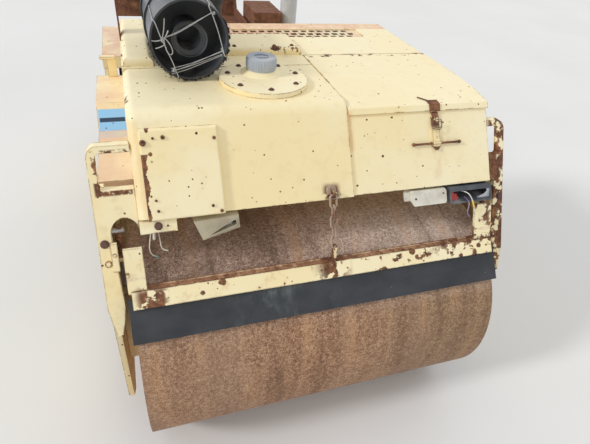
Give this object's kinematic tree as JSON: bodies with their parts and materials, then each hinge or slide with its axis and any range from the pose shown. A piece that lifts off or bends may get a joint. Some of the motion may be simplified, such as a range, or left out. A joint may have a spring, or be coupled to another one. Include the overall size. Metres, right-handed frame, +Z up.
{
  "type": "articulated double-drum road roller",
  "caption": "Weathered compact road roller: two smooth steel drums in yokes joined at a steering pivot, tank hood and engine cover in front, low seat deck behind.",
  "frame": {"origin": "on the ground under the steering pivot, midway between the two axles and the two sides", "axes": "+Z up, Y along the machine with the hooded front end at -Y, X across"},
  "size_m": [1.342, 2.56, 1.4041],
  "materials": {
    "bare_steel": "oiled steel",
    "black_plastic": "weathered black",
    "chain_steel": "rusty chain",
    "cream_paint": "faded cream paint with rust chips",
    "dark_paint": "worn dark paint",
    "drum_steel": "rusted rolled steel",
    "engine_iron": "oily iron",
    "grey_plastic": "faded grey moulding",
    "grille_steel": "rusty punched plate",
    "lamp_cream": "broken cream housing",
    "light_grey": "faded light grey",
    "red_lens": "faded red lens",
    "rubber_strap": "painted-over rubber",
    "rubber_strip": "matt rubber",
    "rusty_steel": "rust",
    "white_plastic": "weathered white",
    "wire_insulation": "dirty white insulation"
  },
  "bodies": {
    "front_module": {"front_yoke": "cream_paint", "front_hub_caps": "cream_paint", "front_legs": "cream_paint", "side_rails": "cream_paint", "cradle_beams": "cream_paint", "pivot_pin": "bare_steel", "front_scraper": "cream_paint", "front_wiper": "rubber_strip", "scraper_chain": "chain_steel", "hood_tank": "cream_paint", "front_cover": "cream_paint", "filler_flange": "cream_paint", "filler_cap": "grey_plastic", "engine_bay": "cream_paint", "engine_block": "engine_iron", "latch_strap": "rubber_strap", "left_lamp": "lamp_cream", "right_lamp": "white_plastic", "tail_lamp": "black_plastic", "loom_plate": "cream_paint", "left_wires": "wire_insulation", "tail_wires": "wire_insulation"},
    "front_drum": {"front_drum": "drum_steel"},
    "right_lid": {"right_lid": "cream_paint", "lid_keeper": "rusty_steel"},
    "engine_cover": {"engine_cover": "cream_paint", "engine_grille": "grille_steel", "air_canister": "black_plastic", "canister_bracket": "rusty_steel"},
    "rear_module": {"rear_yoke": "cream_paint", "rear_hub_caps": "cream_paint", "rear_legs": "cream_paint", "rear_scraper": "cream_paint", "rear_wiper": "rubber_strip", "rear_deck": "cream_paint", "floor_plate": "cream_paint", "rear_lamps": "red_lens", "seat_base": "rusty_steel", "seat_shell": "rusty_steel", "side_console": "rusty_steel", "oil_filter": "light_grey", "steering_column": "dark_paint"},
    "rear_drum": {"rear_drum": "drum_steel"},
    "steering_wheel": {"steering_wheel": "black_plastic"},
    "steering_barrel": {"steering_barrel": "dark_paint"},
    "steering_rod": {"steering_rod": "bare_steel"}
  },
  "joints": [
    {"name": "front_drum_spin", "type": "hinge", "parent": "front_module", "child": "front_drum", "pos_m": [0, -0.9, 0.38], "axis": [1, 0, 0], "continuous": true},
    {"name": "steering_pivot", "type": "hinge", "parent": "front_module", "child": "rear_module", "pos_m": [0, 0, 0.43], "axis": [0, 0, 1], "range_deg": [-30, 30]},
    {"name": "rear_drum_spin", "type": "hinge", "parent": "rear_module", "child": "rear_drum", "pos_m": [0, 0.9, 0.38], "axis": [1, 0, 0], "continuous": true},
    {"name": "right_lid_hinge", "type": "hinge", "parent": "front_module", "child": "right_lid", "pos_m": [0.34, -0.451, 1.163], "axis": [-1, 0, 0], "range_deg": [0, 80]},
    {"name": "engine_cover_hinge", "type": "hinge", "parent": "front_module", "child": "engine_cover", "pos_m": [0, -0.032, 1.163], "axis": [-1, 0, 0], "range_deg": [0, 50]},
    {"name": "steering_wheel_turn", "type": "hinge", "parent": "rear_module", "child": "steering_wheel", "pos_m": [-0.12, 0.235, 1.18], "axis": [0, 0.0737, 0.9973], "continuous": true},
    {"name": "steer_barrel_swing", "type": "hinge", "parent": "front_module", "child": "steering_barrel", "pos_m": [-0.15, -0.33, 0.43], "axis": [0, 0, 1], "range_deg": [-2.5, 2.5]},
    {"name": "steer_rod_slide", "type": "slide", "parent": "steering_barrel", "child": "steering_rod", "axis": [0, 1, 0], "range_m": [-0.08, 0.08]}
  ],
  "couplings": [
    {"joint": "steer_barrel_swing", "follows": "steering_pivot", "ratio": 0.0602},
    {"joint": "steer_rod_slide", "follows": "steering_pivot", "m_per_rad": -0.1445}
  ]
}
